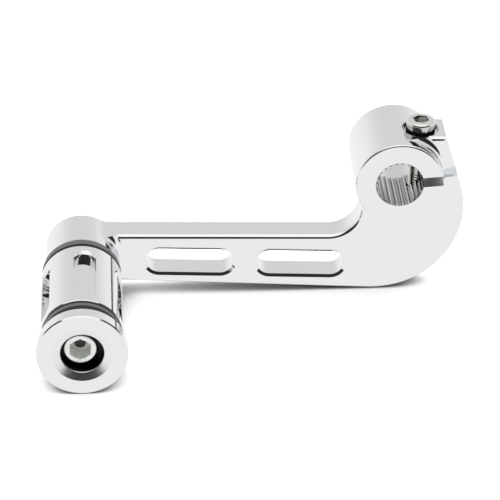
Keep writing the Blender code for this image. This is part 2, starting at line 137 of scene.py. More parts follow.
# A profile of (radius, place along Y), spun once round an axis along Y
def turnPiece(name, profile, steps, center=(0.0, 0.0)):
    bpy.ops.object.select_all(action="DESELECT")
    bpy.ops.mesh.primitive_plane_add(size=0.001, location=(0, 0, 0))
    obj = bpy.context.object
    obj.name = name
    bpy.ops.object.mode_set(mode="EDIT")
    bpy.ops.mesh.select_all(action="SELECT")
    bpy.ops.mesh.merge(type="CENTER")
    bpy.ops.transform.translate(value=(profile[0][0] * mm, profile[0][1] * mm, 0))
    for before, after in zip(profile, profile[1:]):
        step = ((after[0] - before[0]) * mm, (after[1] - before[1]) * mm, 0)
        bpy.ops.mesh.extrude_vertices_move(TRANSFORM_OT_translate={"value": step})
    bpy.ops.mesh.select_all(action="SELECT")
    bpy.ops.mesh.spin(steps=steps, angle=math.tau, center=(0, 0, 0), axis=(0, 1, 0))
    bpy.ops.mesh.select_all(action="SELECT")
    bpy.ops.mesh.remove_doubles(threshold=0.000001)
    bpy.ops.mesh.normals_make_consistent(inside=False)
    bpy.ops.object.mode_set(mode="OBJECT")
    freeze(obj, Matrix.Translation((center[0] * mm, 0, center[1] * mm)))
    return obj


# Rounds the edges that lie wholly at one place on Y, and are sharp outer edges
def roundRim(obj, level, width, segments):
    pick(obj)
    bpy.ops.object.mode_set(mode="EDIT")
    bpy.ops.mesh.select_mode(type="EDGE")
    bpy.ops.mesh.select_all(action="DESELECT")
    work = bmesh.from_edit_mesh(obj.data)
    for edge in work.edges:
        flat = all(abs(spot.co.y - level * mm) < 1e-6 for spot in edge.verts)
        edge.select = flat and edge.is_convex and edge.calc_face_angle(0) > 1
    bmesh.update_edit_mesh(obj.data)
    bpy.ops.mesh.bevel(offset=width * mm, segments=segments, profile=0.5, clamp_overlap=False)
    bpy.ops.mesh.select_mode(type="VERT")
    bpy.ops.object.mode_set(mode="OBJECT")


# An outline in X and Z, pulled from one place on Y to another
def slabPiece(name, outline, front, back):
    bpy.ops.object.select_all(action="DESELECT")
    corners = len(outline)
    bpy.ops.mesh.primitive_circle_add(vertices=corners, radius=0.01, fill_type="NGON", location=(0, 0, 0))
    obj = bpy.context.object
    obj.name = name
    for corner, (x, z) in zip(obj.data.vertices, outline):
        corner.co = (x * mm, front * mm, z * mm)
    bpy.ops.object.mode_set(mode="EDIT")
    bpy.ops.mesh.select_all(action="SELECT")
    bpy.ops.mesh.extrude_region_move(TRANSFORM_OT_translate={"value": (0, (back - front) * mm, 0)})
    bpy.ops.mesh.select_all(action="SELECT")
    bpy.ops.mesh.normals_make_consistent(inside=False)
    bpy.ops.object.mode_set(mode="OBJECT")
    return obj


# A slab whose outline narrows from one end to the other, point by point, and goes straight on from there
def flarePiece(name, wide, wideAt, narrow, narrowAt, end):
    def narrowed(spot):
        return abs(spot.co.y / mm - narrowAt) < 1e-3

    obj = slabPiece(name, wide, wideAt, narrowAt)
    for corner in filter(narrowed, obj.data.vertices):
        spot = Vector((corner.co.x, corner.co.z)) / mm
        nearest = min(range(len(wide)), key=lambda i: (Vector(wide[i]) - spot).length)
        corner.co.x = narrow[nearest][0] * mm
        corner.co.z = narrow[nearest][1] * mm
    pick(obj)
    bpy.ops.object.mode_set(mode="EDIT")
    bpy.ops.mesh.select_mode(type="FACE")
    bpy.ops.mesh.select_all(action="DESELECT")
    work = bmesh.from_edit_mesh(obj.data)
    for face in work.faces:
        face.select_set(all(map(narrowed, face.verts)))
    bmesh.update_edit_mesh(obj.data)
    bpy.ops.mesh.extrude_region_move(TRANSFORM_OT_translate={"value": (0, (end - narrowAt) * mm, 0)})
    bpy.ops.mesh.select_mode(type="VERT")
    bpy.ops.mesh.select_all(action="SELECT")
    bpy.ops.mesh.normals_make_consistent(inside=False)
    bpy.ops.object.mode_set(mode="OBJECT")
    return obj


def workInto(target, tool, operation):
    pick(target)
    step = target.modifiers.new("shape", "BOOLEAN")
    step.operation = operation
    step.solver = "EXACT"
    step.object = tool
    bpy.ops.object.modifier_apply(modifier=step.name)
    bpy.data.objects.remove(tool)


# Smooth shading that keeps flat faces flat, then the piece joins the frame
def finishPiece(obj, name, material):
    freeze(obj, atRest)
    obj.name = name
    bpy.ops.object.shade_smooth_by_angle(angle=math.radians(16))
    step = obj.modifiers.new("flats", "WEIGHTED_NORMAL")
    step.keep_sharp = True
    step.weight = 60
    bpy.ops.object.modifier_apply(modifier=step.name)
    obj.data.materials.clear()
    obj.data.materials.append(material)
    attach(obj, "root")


# Shader groups, used by more than one finish
def groupSocket(group, name, kind, direction, value=None):
    socket = group.interface.new_socket(name=name, in_out=direction, socket_type=kind)
    if value is not None:
        socket.default_value = value


def makePolishGroup():
    group = bpy.data.node_groups.new("polishMarks", "ShaderNodeTree")
    groupSocket(group, "Vector", "NodeSocketVector", "INPUT")
    groupSocket(group, "Cloud Scale", "NodeSocketFloat", "INPUT", 60.0)
    groupSocket(group, "Grain Scale", "NodeSocketFloat", "INPUT", 1500.0)
    groupSocket(group, "Smoothest", "NodeSocketFloat", "INPUT", 0.03)
    groupSocket(group, "Roughest", "NodeSocketFloat", "INPUT", 0.1)
    groupSocket(group, "Roughness", "NodeSocketFloat", "OUTPUT")
    groupSocket(group, "Height", "NodeSocketFloat", "OUTPUT")
    nodes = group.nodes
    links = group.links
    start = nodes.new("NodeGroupInput")
    end = nodes.new("NodeGroupOutput")
    cloud = nodes.new("ShaderNodeTexNoise")
    cloud.inputs["Detail"].default_value = 3.0
    grain = nodes.new("ShaderNodeTexNoise")
    grain.inputs["Detail"].default_value = 2.0
    spread = nodes.new("ShaderNodeMapRange")
    spread.inputs["From Min"].default_value = 0.35
    spread.inputs["From Max"].default_value = 0.65
    both = nodes.new("ShaderNodeMath")
    both.operation = "MULTIPLY_ADD"
    both.inputs[1].default_value = 0.25
    links.new(start.outputs["Vector"], cloud.inputs["Vector"])
    links.new(start.outputs["Cloud Scale"], cloud.inputs["Scale"])
    links.new(start.outputs["Vector"], grain.inputs["Vector"])
    links.new(start.outputs["Grain Scale"], grain.inputs["Scale"])
    links.new(cloud.outputs["Fac"], spread.inputs["Value"])
    links.new(start.outputs["Smoothest"], spread.inputs["To Min"])
    links.new(start.outputs["Roughest"], spread.inputs["To Max"])
    links.new(spread.outputs["Result"], end.inputs["Roughness"])
    links.new(grain.outputs["Fac"], both.inputs[0])
    links.new(cloud.outputs["Fac"], both.inputs[2])
    links.new(both.outputs["Value"], end.inputs["Height"])
    return group


# Fine rings left by a lathe, round the Y axis
def makeRingsGroup():
    group = bpy.data.node_groups.new("latheRings", "ShaderNodeTree")
    groupSocket(group, "Vector", "NodeSocketVector", "INPUT")
    groupSocket(group, "Rings Per Metre", "NodeSocketFloat", "INPUT", 800.0)
    groupSocket(group, "Height", "NodeSocketFloat", "OUTPUT")
    nodes = group.nodes
    links = group.links
    start = nodes.new("NodeGroupInput")
    end = nodes.new("NodeGroupOutput")
    wave = nodes.new("ShaderNodeTexWave")
    wave.wave_type = "RINGS"
    wave.rings_direction = "Y"
    wave.inputs["Distortion"].default_value = 1.5
    wave.inputs["Detail"].default_value = 3.0
    wave.inputs["Detail Scale"].default_value = 4.0
    links.new(start.outputs["Vector"], wave.inputs["Vector"])
    links.new(start.outputs["Rings Per Metre"], wave.inputs["Scale"])
    links.new(wave.outputs["Fac"], end.inputs["Height"])
    return group


# White within Radius of an axis along Y through Center, as far as Half Length to each side of it
def makeBoreGroup():
    group = bpy.data.node_groups.new("boreZone", "ShaderNodeTree")
    groupSocket(group, "Vector", "NodeSocketVector", "INPUT")
    groupSocket(group, "Center", "NodeSocketVector", "INPUT")
    groupSocket(group, "Radius", "NodeSocketFloat", "INPUT", 0.008)
    groupSocket(group, "Half Length", "NodeSocketFloat", "INPUT", 1.0)
    groupSocket(group, "Mask", "NodeSocketFloat", "OUTPUT")
    nodes = group.nodes
    links = group.links
    start = nodes.new("NodeGroupInput")
    end = nodes.new("NodeGroupOutput")
    offset = nodes.new("ShaderNodeVectorMath")
    offset.operation = "SUBTRACT"
    flat = nodes.new("ShaderNodeVectorMath")
    flat.operation = "MULTIPLY"
    flat.inputs[1].default_value = (1, 0, 1)
    size = nodes.new("ShaderNodeVectorMath")
    size.operation = "LENGTH"
    inside = nodes.new("ShaderNodeMath")
    inside.operation = "LESS_THAN"
    links.new(start.outputs["Vector"], offset.inputs[0])
    links.new(start.outputs["Center"], offset.inputs[1])
    links.new(offset.outputs["Vector"], flat.inputs[0])
    links.new(flat.outputs["Vector"], size.inputs[0])
    links.new(size.outputs["Value"], inside.inputs[0])
    links.new(start.outputs["Radius"], inside.inputs[1])
    spans = nodes.new("ShaderNodeSeparateXYZ")
    near = nodes.new("ShaderNodeMath")
    near.operation = "COMPARE"
    near.inputs[1].default_value = 0
    both = nodes.new("ShaderNodeMath")
    both.operation = "MULTIPLY"
    links.new(offset.outputs["Vector"], spans.inputs["Vector"])
    links.new(spans.outputs["Y"], near.inputs[0])
    links.new(start.outputs["Half Length"], near.inputs[2])
    links.new(inside.outputs["Value"], both.inputs[0])
    links.new(near.outputs["Value"], both.inputs[1])
    links.new(both.outputs["Value"], end.inputs["Mask"])
    return group


# White as far as Half to each side of Center, Across, and from Center as far as Reach, Along
def makeSlitGroup():
    group = bpy.data.node_groups.new("slitZone", "ShaderNodeTree")
    groupSocket(group, "Vector", "NodeSocketVector", "INPUT")
    groupSocket(group, "Center", "NodeSocketVector", "INPUT")
    groupSocket(group, "Across", "NodeSocketVector", "INPUT")
    groupSocket(group, "Along", "NodeSocketVector", "INPUT")
    groupSocket(group, "Half", "NodeSocketFloat", "INPUT", 0.002)
    groupSocket(group, "Reach", "NodeSocketFloat", "INPUT", 0.02)
    groupSocket(group, "Mask", "NodeSocketFloat", "OUTPUT")
    nodes = group.nodes
    links = group.links
    start = nodes.new("NodeGroupInput")
    end = nodes.new("NodeGroupOutput")
    offset = nodes.new("ShaderNodeVectorMath")
    offset.operation = "SUBTRACT"
    links.new(start.outputs["Vector"], offset.inputs[0])
    links.new(start.outputs["Center"], offset.inputs[1])
    spans = []
    for side in ("Across", "Along"):
        span = nodes.new("ShaderNodeVectorMath")
        span.operation = "DOT_PRODUCT"
        links.new(offset.outputs["Vector"], span.inputs[0])
        links.new(start.outputs[side], span.inputs[1])
        spans.append(span.outputs["Value"])
    near = nodes.new("ShaderNodeMath")
    near.operation = "COMPARE"
    near.inputs[1].default_value = 0
    links.new(spans[0], near.inputs[0])
    links.new(start.outputs["Half"], near.inputs[2])
    middle = nodes.new("ShaderNodeMath")
    middle.operation = "MULTIPLY"
    middle.inputs[1].default_value = 0.5
    links.new(start.outputs["Reach"], middle.inputs[0])
    ahead = nodes.new("ShaderNodeMath")
    ahead.operation = "COMPARE"
    links.new(spans[1], ahead.inputs[0])
    links.new(middle.outputs["Value"], ahead.inputs[1])
    links.new(middle.outputs["Value"], ahead.inputs[2])
    both = nodes.new("ShaderNodeMath")
    both.operation = "MULTIPLY"
    links.new(near.outputs["Value"], both.inputs[0])
    links.new(ahead.outputs["Value"], both.inputs[1])
    links.new(both.outputs["Value"], end.inputs["Mask"])
    return group


polishGroup = makePolishGroup()
ringsGroup = makeRingsGroup()
boreGroup = makeBoreGroup()
slitGroup = makeSlitGroup()


# The clouds and grain that every finish starts from
def startFinish(name, look):
    material = bpy.data.materials.new(name)
    material.use_nodes = True
    nodes = material.node_tree.nodes
    links = material.node_tree.links
    shader = nodes["Principled BSDF"]
    where = nodes.new("ShaderNodeTexCoord")
    where.name = "where"
    polish = nodes.new("ShaderNodeGroup")
    polish.name = "polish"
    polish.node_tree = polishGroup
    polish.inputs["Cloud Scale"].default_value = look["cloudScale"]
    polish.inputs["Grain Scale"].default_value = look["grainScale"]
    polish.inputs["Smoothest"].default_value = look["smoothest"]
    polish.inputs["Roughest"].default_value = look["roughest"]
    bump = nodes.new("ShaderNodeBump")
    bump.name = "bump"
    bump.inputs["Strength"].default_value = look["bump"]
    bump.inputs["Distance"].default_value = look["bumpDepth"] * mm
    links.new(where.outputs["Object"], polish.inputs["Vector"])
    links.new(polish.outputs["Roughness"], shader.inputs["Roughness"])
    links.new(polish.outputs["Height"], bump.inputs["Height"])
    links.new(bump.outputs["Normal"], shader.inputs["Normal"])
    return material


# Bright metal, with lathe rings where the piece was turned
def metalFinish(name, look):
    material = startFinish(name, look)
    nodes = material.node_tree.nodes
    links = material.node_tree.links
    shader = nodes["Principled BSDF"]
    shader.inputs["Metallic"].default_value = 1.0
    shader.inputs["Base Color"].default_value = (*look["color"], 1.0)
    if "rings" in look:
        center = look["ringsCenter"]
        move = nodes.new("ShaderNodeMapping")
        move.inputs["Location"].default_value = (-center[0], 0, -center[2])
        rings = nodes.new("ShaderNodeGroup")
        rings.node_tree = ringsGroup
        rings.inputs["Rings Per Metre"].default_value = look["rings"]
        turned = nodes.new("ShaderNodeBump")
        turned.inputs["Strength"].default_value = look["ringsBump"]
        turned.inputs["Distance"].default_value = look["bumpDepth"] * mm
        links.new(nodes["where"].outputs["Object"], move.inputs["Vector"])
        links.new(move.outputs["Vector"], rings.inputs["Vector"])
        links.new(rings.outputs["Height"], turned.inputs["Height"])
        links.new(turned.outputs["Normal"], nodes["bump"].inputs["Normal"])
    return material


# Places with another finish than the rest of the piece, or with painted shade: round an axis over a span
# of Y, or in a flat slab
def finishAndShadeZones(material, zones):
    nodes = material.node_tree.nodes
    links = material.node_tree.links
    shader = nodes["Principled BSDF"]
    for zone in zones:
        mask = nodes.new("ShaderNodeGroup")
        if "across" in zone:
            mask.node_tree = slitGroup
            mask.inputs["Center"].default_value = zone["center"]
            mask.inputs["Across"].default_value = zone["across"]
            mask.inputs["Along"].default_value = zone["along"]
            mask.inputs["Half"].default_value = zone["half"] * mm
            mask.inputs["Reach"].default_value = zone["reach"] * mm
        else:
            start, end = zone["span"]
            mask.node_tree = boreGroup
            mask.inputs["Center"].default_value = zone["axis"] + Vector((0, (start + end) / 2, 0)) * mm
            mask.inputs["Radius"].default_value = zone["radius"] * mm
            mask.inputs["Half Length"].default_value = (end - start) / 2 * mm
        links.new(nodes["where"].outputs["Object"], mask.inputs["Vector"])
        changes = [("Base Color", "RGBA", 6, (*zone["color"], 1.0))]
        changes.append(("Roughness", "FLOAT", 2, zone["roughness"]))
        if "metallic" in zone:
            changes.append(("Metallic", "FLOAT", 2, zone["metallic"]))
        for goal, kind, first, value in changes:
            mix = nodes.new("ShaderNodeMix")
            mix.data_type = kind
            mix.inputs[first + 1].default_value = value
            links.new(mask.outputs["Mask"], mix.inputs[0])
            socket = shader.inputs[goal]
            if socket.links:
                links.new(socket.links[0].from_socket, mix.inputs[first])
            else:
                mix.inputs[first].default_value = socket.default_value
            links.new(mix.outputs[2 if kind == "RGBA" else 0], socket)


def rubberFinish(name, look):
    material = startFinish(name, look)
    nodes = material.node_tree.nodes
    links = material.node_tree.links
    shader = nodes["Principled BSDF"]
    shader.inputs["Specular IOR Level"].default_value = look["sheen"]
    tone = nodes.new("ShaderNodeMix")
    tone.data_type = "RGBA"
    tone.inputs[6].default_value = (*look["dark"], 1.0)
    tone.inputs[7].default_value = (*look["light"], 1.0)
    links.new(nodes["polish"].outputs["Height"], tone.inputs[0])
    links.new(tone.outputs[2], shader.inputs["Base Color"])
    return material


leverChrome = metalFinish(
    "leverChrome",
    {
        "color": (0.79, 0.80, 0.81),
        "cloudScale": 35.0,
        "grainScale": 900.0,
        "smoothest": 0.03,
        "roughest": 0.07,
        "bump": 0.05,
        "bumpDepth": 0.01,
    },
)
capChrome = metalFinish(
    "capChrome",
    {
        "color": (0.80, 0.80, 0.81),
        "cloudScale": 80.0,
        "grainScale": 1200.0,
        "smoothest": 0.06,
        "roughest": 0.13,
        "bump": 0.08,
        "bumpDepth": 0.01,
        "rings": 500.0,
        "ringsBump": 0.05,
        "ringsCenter": pegCenter,
    },
)
sleeveChrome = metalFinish(
    "sleeveChrome",
    {
        "color": (0.80, 0.80, 0.81),
        "cloudScale": 50.0,
        "grainScale": 1000.0,
        "smoothest": 0.03,
        "roughest": 0.07,
        "bump": 0.05,
        "bumpDepth": 0.01,
    },
)
clampSteel = metalFinish(
    "clampSteel",
    {
        "color": (0.76, 0.75, 0.73),
        "cloudScale": 200.0,
        "grainScale": 2500.0,
        "smoothest": 0.05,
        "roughest": 0.12,
        "bump": 0.1,
        "bumpDepth": 0.02,
    },
)
pegZinc = metalFinish(
    "pegZinc",
    {
        "color": (0.80, 0.82, 0.80),
        "cloudScale": 180.0,
        "grainScale": 2500.0,
        "smoothest": 0.18,
        "roughest": 0.32,
        "bump": 0.15,
        "bumpDepth": 0.02,
    },
)
ringRubber = rubberFinish(
    "ringRubber",
    {
        "dark": (0.06, 0.061, 0.065),
        "light": (0.10, 0.101, 0.106),
        "sheen": 1.0,
        "cloudScale": 150.0,
        "grainScale": 3000.0,
        "smoothest": 0.38,
        "roughest": 0.55,
        "bump": 0.25,
        "bumpDepth": 0.03,
    },
)
print("finishes made")


boss = {
    "radius": 12.25,
    "front": 52.6,
    "rimRound": 0.9,
    "cove": 3.0,
    "fillet": 4.0,
    "topFillet": 9.0,
    "spigotRadius": 10.0,
    "spigotStart": 47.2,
    "spigotChamfer": 0.4,
    "steps": 200,
}
slots = {"length": 30.0, "height": 9.2, "slope": math.radians(-1.0), "centers": (37.1, 75.2), "drop": 0.9}
slotRim = {"width": 1.0, "depth": 0.6}


def stadium(length, height, center, slope, steps=24):
    radius = height / 2
    middle = Vector(center)
    reach = Vector((math.cos(slope), math.sin(slope))) * (length / 2 - radius)
    up = slope + math.pi / 2
    points = arcPoints(middle + reach, radius, up - math.pi, up, steps)
    return points + arcPoints(middle - reach, radius, up, up + math.pi, steps)


def armOutline():
    bossRadius = boss["radius"] - arm["overlap"]
    fillet = boss["fillet"]
    blend = bossRadius + fillet
    topFillet = boss["topFillet"]
    topZ = arm["top"] + topFillet
    topX = math.sqrt((bossRadius + topFillet) ** 2 - topZ**2)
    topTurn = math.atan2(topZ, topX)
    taper = arm["taper"]
    along = Vector((math.cos(taper), -math.sin(taper)))
    below = Vector((-math.sin(taper), -math.cos(taper)))
    depth = Vector(arm["curveCenter"]).dot(below) + arm["curveRadius"] + fillet
    low = along * math.sqrt(blend**2 - depth**2) + below * depth
    lowTurn = math.atan2(low.y, low.x)
    hubX, hubZ = hub["center"]
    inner = arm["innerFillet"]
    innerZ = arm["top"] + inner
    innerX = hubX - math.sqrt((hub["radius"] - arm["overlap"] + inner) ** 2 - (hubZ - innerZ) ** 2)
    innerTurn = math.atan2(hubZ - innerZ, hubX - innerX)
    buried = (hubX - 0.54 * hub["radius"], hubZ + 0.54 * hub["radius"])
    points = arcPoints((0, 0), bossRadius, topTurn, lowTurn + math.tau, 120)
    points += arcPoints(low, fillet, lowTurn + math.pi, math.pi / 2 - taper, 16)[1:]
    points += arcPoints(arm["curveCenter"], arm["curveRadius"], -math.pi / 2 - taper, arm["curveEnd"], 110)
    points += [(arm["earCorner"], earTop), (hubX, earTop), buried]
    points += arcPoints((innerX, innerZ), inner, innerTurn, -math.pi / 2, 36)
    points += arcPoints((topX, topZ), topFillet, -math.pi / 2, topTurn - math.pi, 16)[:-1]
    return points


# Where the lever is thinner than the pad round the clamp bolt
def reliefOutline():
    left, right, low, high = -30, 160, -60, 70
    stepX = hub["center"][0] - 0.25 * hub["radius"]
    stepZ = hub["center"][1] - 0.9 * hub["radius"]
    return [(left, low), (right, low), (right, stepZ), (stepX, stepZ), (stepX, high), (left, high)]


# The hollow between a round part and the arm's front face, trimmed to the arm's outline. The half step
# and the small shift keep its edges off those of the part and of the arm.
def coveRing(name, part, center, outline):
    back = arm["front"] + arm["edgeRound"] + 0.25
    small = arm["overlap"]
    cove = part["cove"]
    steps = part["steps"]
    middle = (part["radius"] + cove - small, arm["front"] - cove + small)
    hollow = arcPoints(middle, cove, math.pi, math.pi / 2, 14)
    profile = [(0, hollow[0][1])] + hollow + [(hollow[-1][0], back), (0, back)]
    ring = turnPiece(name, profile, steps)
    halfStep = Matrix.Rotation(math.pi / steps, 4, "Y")
    freeze(ring, Matrix.Translation((center[0] * mm, 0, center[1] * mm)) @ halfStep)
    trim = slabPiece("trim", insetOutline(outline, small), hub["front"], arm["rear"] - 0.5)
    freeze(trim, Matrix.Translation((0.4 * small * mm, 0, 0.25 * small * mm)))
    workInto(ring, trim, "INTERSECT")
    return ring


def cutSlots(lever):
    middle = sum(slots["centers"]) / 2
    half = (arm["front"] + arm["rear"]) / 2
    for x in slots["centers"]:
        z = (x - middle) * math.tan(slots["slope"]) - slots["drop"]
        shape = stadium(slots["length"], slots["height"], (x, z), slots["slope"])
        wide = insetOutline(shape, -slotRim["width"] * (1 + flarePast / slotRim["depth"]))
        for face, side in ((arm["front"], -1), (arm["rear"], 1)):
            deep = face - side * slotRim["depth"]
            end = half - side * 2 * arm["overlap"]
            cutter = flarePiece("slot", wide, face + side * flarePast, shape, deep, end)
            workInto(lever, cutter, "DIFFERENCE")


splines = {
    "count": 24,
    "crest": 7.6,
    "root": 8.15,
    "crestShare": (-0.36, -0.14),
    "rootShare": (0.03, 0.47),
    "end": 74.6,
    "lead": 0.4,
    "leadSteps": 160,
    "rearChamfer": 0.8,
    "rearSteps": 152,
}
clampPlace = {
    "x": 114.4,
    "y": (arm["front"] + arm["earRear"]) / 2,
    "seat": earTop - 2.5,
    "tip": earTop - 22.5,
    "hole": 3.3,
    "holeBeyond": 2.0,
    "holeSlope": 0.6,
    "holeSteps": 96,
    "counterbore": 6.25,
    "below": 0.3,
}


def splineOutline():
    hubX, hubZ = hub["center"]
    step = math.tau / splines["count"]
    points = []
    flats = ((splines["crest"], splines["crestShare"]), (splines["root"], splines["rootShare"]))
    for i in range(splines["count"]):
        for radius, (start, end) in flats:
            for share in (start, (start + end) / 2, end):
                turn = (i + share) * step
                points.append((hubX + radius * math.cos(turn), hubZ + radius * math.sin(turn)))
    return points


def addHub(lever):
    rim = hub["radius"] - hub["rimRound"]
    profile = [(0, hub["front"])]
    profile += arcPoints((rim, hub["front"] + hub["rimRound"]), hub["rimRound"], -math.pi / 2, 0, 8)
    rim = hub["radius"] - hub["rearRound"]
    profile += arcPoints((rim, hub["rear"] - hub["rearRound"]), hub["rearRound"], 0, math.pi / 2, 4)
    profile += [(0, hub["rear"])]
    workInto(lever, turnPiece("hub", profile, hub["steps"], hub["center"]), "UNION")


def addBoss(lever):
    start = boss["spigotStart"]
    radius = boss["spigotRadius"]
    chamfer = boss["spigotChamfer"]
    back = arm["front"] + arm["edgeRound"] + 0.5
    rim = boss["radius"] - boss["rimRound"]
    profile = [(0, start), (radius - chamfer, start), (radius, start + chamfer), (radius, boss["front"])]
    profile += arcPoints((rim, boss["front"] + boss["rimRound"]), boss["rimRound"], -math.pi / 2, 0, 8)
    profile += [(boss["radius"], back), (0, back)]
    workInto(lever, turnPiece("boss", profile, boss["steps"]), "UNION")


# The bore is splined from the front, plain behind, and opened by the slit
def cutBore(lever):
    front = hub["front"] - past
    rear = hub["rear"] + past
    workInto(lever, slabPiece("splines", splineOutline(), front, splines["end"]), "DIFFERENCE")
    over = 2 * arm["overlap"]
    deep = hub["front"] + splines["lead"] + over
    profile = [(0, front), (splines["crest"] + splines["lead"] + past, front)]
    profile += [(splines["crest"] - over, deep), (0, deep)]
    workInto(lever, turnPiece("leadIn", profile, splines["leadSteps"], hub["center"]), "DIFFERENCE")
    plain = splines["root"] + arm["overlap"]
    chamfer = splines["rearChamfer"]
    profile = [(0, splines["end"] - past), (plain, splines["end"] - past), (plain, hub["rear"] - chamfer)]
    profile += [(plain + chamfer + past, rear), (0, rear)]
    workInto(lever, turnPiece("rearBore", profile, splines["rearSteps"], hub["center"]), "DIFFERENCE")
    half = hub["slitWidth"] / 2
    reach = 4 * hub["radius"]
    slit = slabPiece("slit", [(0, -half), (reach, -half), (reach, half), (0, half)], front, rear)
    hubX, hubZ = hub["center"]
    slope = Matrix.Rotation(-hub["slitSlope"], 4, "Y")
    freeze(slit, Matrix.Translation((hubX * mm, 0, hubZ * mm)) @ slope)
    workInto(lever, slit, "DIFFERENCE")


def drillBoltHoles(lever):
    hole = clampPlace["hole"]
    seat = clampPlace["seat"] - clampPlace["below"]
    bottom = clampPlace["tip"] - clampPlace["holeBeyond"]
    point = bottom - hole * clampPlace["holeSlope"]
    wide = clampPlace["counterbore"]
    top = earTop + 2 * past
    profile = [(0, point), (hole, bottom), (hole, seat), (wide, seat), (wide, top), (0, top)]
    drill = turnPiece("clampDrill", profile, clampPlace["holeSteps"])
    upright = Matrix.Rotation(math.pi / 2, 4, "X")
    freeze(drill, Matrix.Translation((clampPlace["x"] * mm, clampPlace["y"] * mm, 0)) @ upright)
    workInto(lever, drill, "DIFFERENCE")

    hole = pegBolt["threadRadius"] + pegBolt["play"]
    chamfer = pegBolt["holeChamfer"]
    start = boss["spigotStart"] - past
    end = arm["rear"] + past
    profile = [(0, start), (hole, start), (hole, arm["rear"] - chamfer)]
    profile += [(hole + chamfer + past, end), (0, end)]
    drill = turnPiece("pegDrill", profile, pegBolt["holeSteps"], (pegBolt["offset"], 0))
    workInto(lever, drill, "DIFFERENCE")


def buildLever():
    outline = armOutline()
    lever = slabPiece("lever", outline, arm["front"], arm["earRear"])
    roundRim(lever, arm["front"], arm["edgeRound"], 8)
    roundRim(lever, arm["earRear"], arm["earRound"], 3)
    relief = slabPiece("relief", reliefOutline(), arm["rear"], arm["earRear"] + past)
    workInto(lever, relief, "DIFFERENCE")
    roundRim(lever, arm["rear"], arm["rearRound"], 3)
    cutSlots(lever)
    addHub(lever)
    addBoss(lever)
    workInto(lever, coveRing("bossCove", boss, (0, 0), outline), "UNION")
    workInto(lever, coveRing("hubCove", hub, hub["center"], outline), "UNION")
    cutBore(lever)
    drillBoltHoles(lever)
    return lever


pegBolt = {
    "headRadius": 5.55,
    "headHeight": 5.2,
    "headRound": 0.6,
    "headFront": 3.7,
    "threadRadius": 4.0,
    "threadPitch": 1.25,
    "threadStart": 24.0,
    "tip": 69.0,
    "hex": 6.8,
    "hexDepth": 4.2,
    "hexTurn": math.radians(90),
    "drill": 1.9,
    "offset": -0.6,
    "play": 0.3,
    "holeChamfer": 0.6,
    "holeSteps": 96,
}
clampBolt = {
    "headRadius": 5.0,
    "headHeight": 6.0,
    "headRound": 1.0,
    "threadRadius": 3.0,
    "threadPitch": 1.0,
    "threadStart": 4.0,
    "length": 20.0,
    "hex": 5.0,
    "hexDepth": 3.2,
    "hexTurn": math.radians(42),
    "drill": 2.48,
    # A band below the head's top, painted darker as shade, from and to these depths
    "shadeBand": (0.9, 3.9),
}

# Slit, bore, roots and crests of the splines have no plating. The roots are darker still: painted shade
# and dirt in the grooves.
slitTurn = Matrix.Rotation(restTurn - hub["slitSlope"], 3, "Y")
boreFront = hub["front"] - arm["overlap"]
splineEnd = splines["end"] - arm["overlap"]
finishAndShadeZones(
    leverChrome,
    [
        {
            "center": hubCenter,
            "across": slitTurn @ Vector((0, 0, 1)),
            "along": slitTurn @ Vector((1, 0, 0)),
            "half": hub["slitWidth"] / 2 + skin,
            "reach": hub["radius"],
            "color": (0.55, 0.55, 0.55),
            "roughness": 0.35,
        },
        {
            "axis": hubCenter,
            "radius": splines["root"] + deepSkin,
            "span": (boreFront, hub["rear"] + arm["overlap"]),
            "color": (0.70, 0.70, 0.69),
            "roughness": 0.12,
        },
        # The spline roots: painted shade and dirt in the grooves
        {
            "axis": hubCenter,
            "radius": splines["root"] + skin,
            "span": (boreFront, splineEnd),
            "color": (0.35, 0.35, 0.35),
            "roughness": 0.2,
        },
        {
            "axis": hubCenter,
            "radius": splines["crest"] + deepSkin,
            "span": (boreFront, splineEnd),
            "color": (0.62, 0.62, 0.61),
            "roughness": 0.12,
        },
    ],
)
lever = buildLever()
finishPiece(lever, "polishedLever", leverChrome)
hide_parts("shift_lever")
print("lever made:", len(lever.data.polygons), "faces")


def buildEndCap():
    outer = endCap["radius"]
    chamfer = endCap["chamfer"]
    back = endCap["thickness"]
    rim = (endCap["recessRadius"] + endCap["dishRound"], endCap["dishDepth"] + endCap["dishRound"] * 0.9)
    slope = math.atan2(endCap["dishDepth"], endCap["dishRadius"] - rim[0])
    profile = [(outer, chamfer), (outer, back - chamfer), (outer - chamfer, back)]
    profile += [(endCap["neckRadius"], back), (endCap["neckRadius"], endCap["neckEnd"])]
    profile += [(endCap["spigotRadius"], endCap["neckEnd"]), (endCap["spigotRadius"], endCap["spigotEnd"])]
    profile += [(endCap["boreRadius"], endCap["spigotEnd"]), (endCap["boreRadius"], endCap["recessDepth"])]
    profile += [(endCap["recessRadius"], endCap["recessDepth"])]
    profile += arcPoints(rim, endCap["dishRound"], math.pi, math.pi * 1.5 - slope, 8)
    profile += [(endCap["dishRadius"], 0), (outer - chamfer, 0), (outer, chamfer)]
    return turnPiece("cap", profile, endCap["steps"])


# The dish is duller than the rim, and the recess is dark
dishSpan = (skin, endCap["dishDepth"] + endCap["dishRound"] + 3 * skin)
finishAndShadeZones(
    capChrome,
    [
        {
            "axis": pegCenter,
            "radius": endCap["dishRadius"],
            "span": dishSpan,
            "color": (0.8, 0.8, 0.81),
            "roughness": 0.24,
        },
        {
            "axis": pegCenter,
            "radius": endCap["recessRadius"] + skin,
            "span": (-skin, endCap["spigotEnd"] + skin),
            "color": (0.1, 0.1, 0.1),
            "roughness": 0.3,
        },
    ],
)
cap = buildEndCap()
finishPiece(cap, "turnedCap", capChrome)
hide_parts("end_cap")
print("cap made")
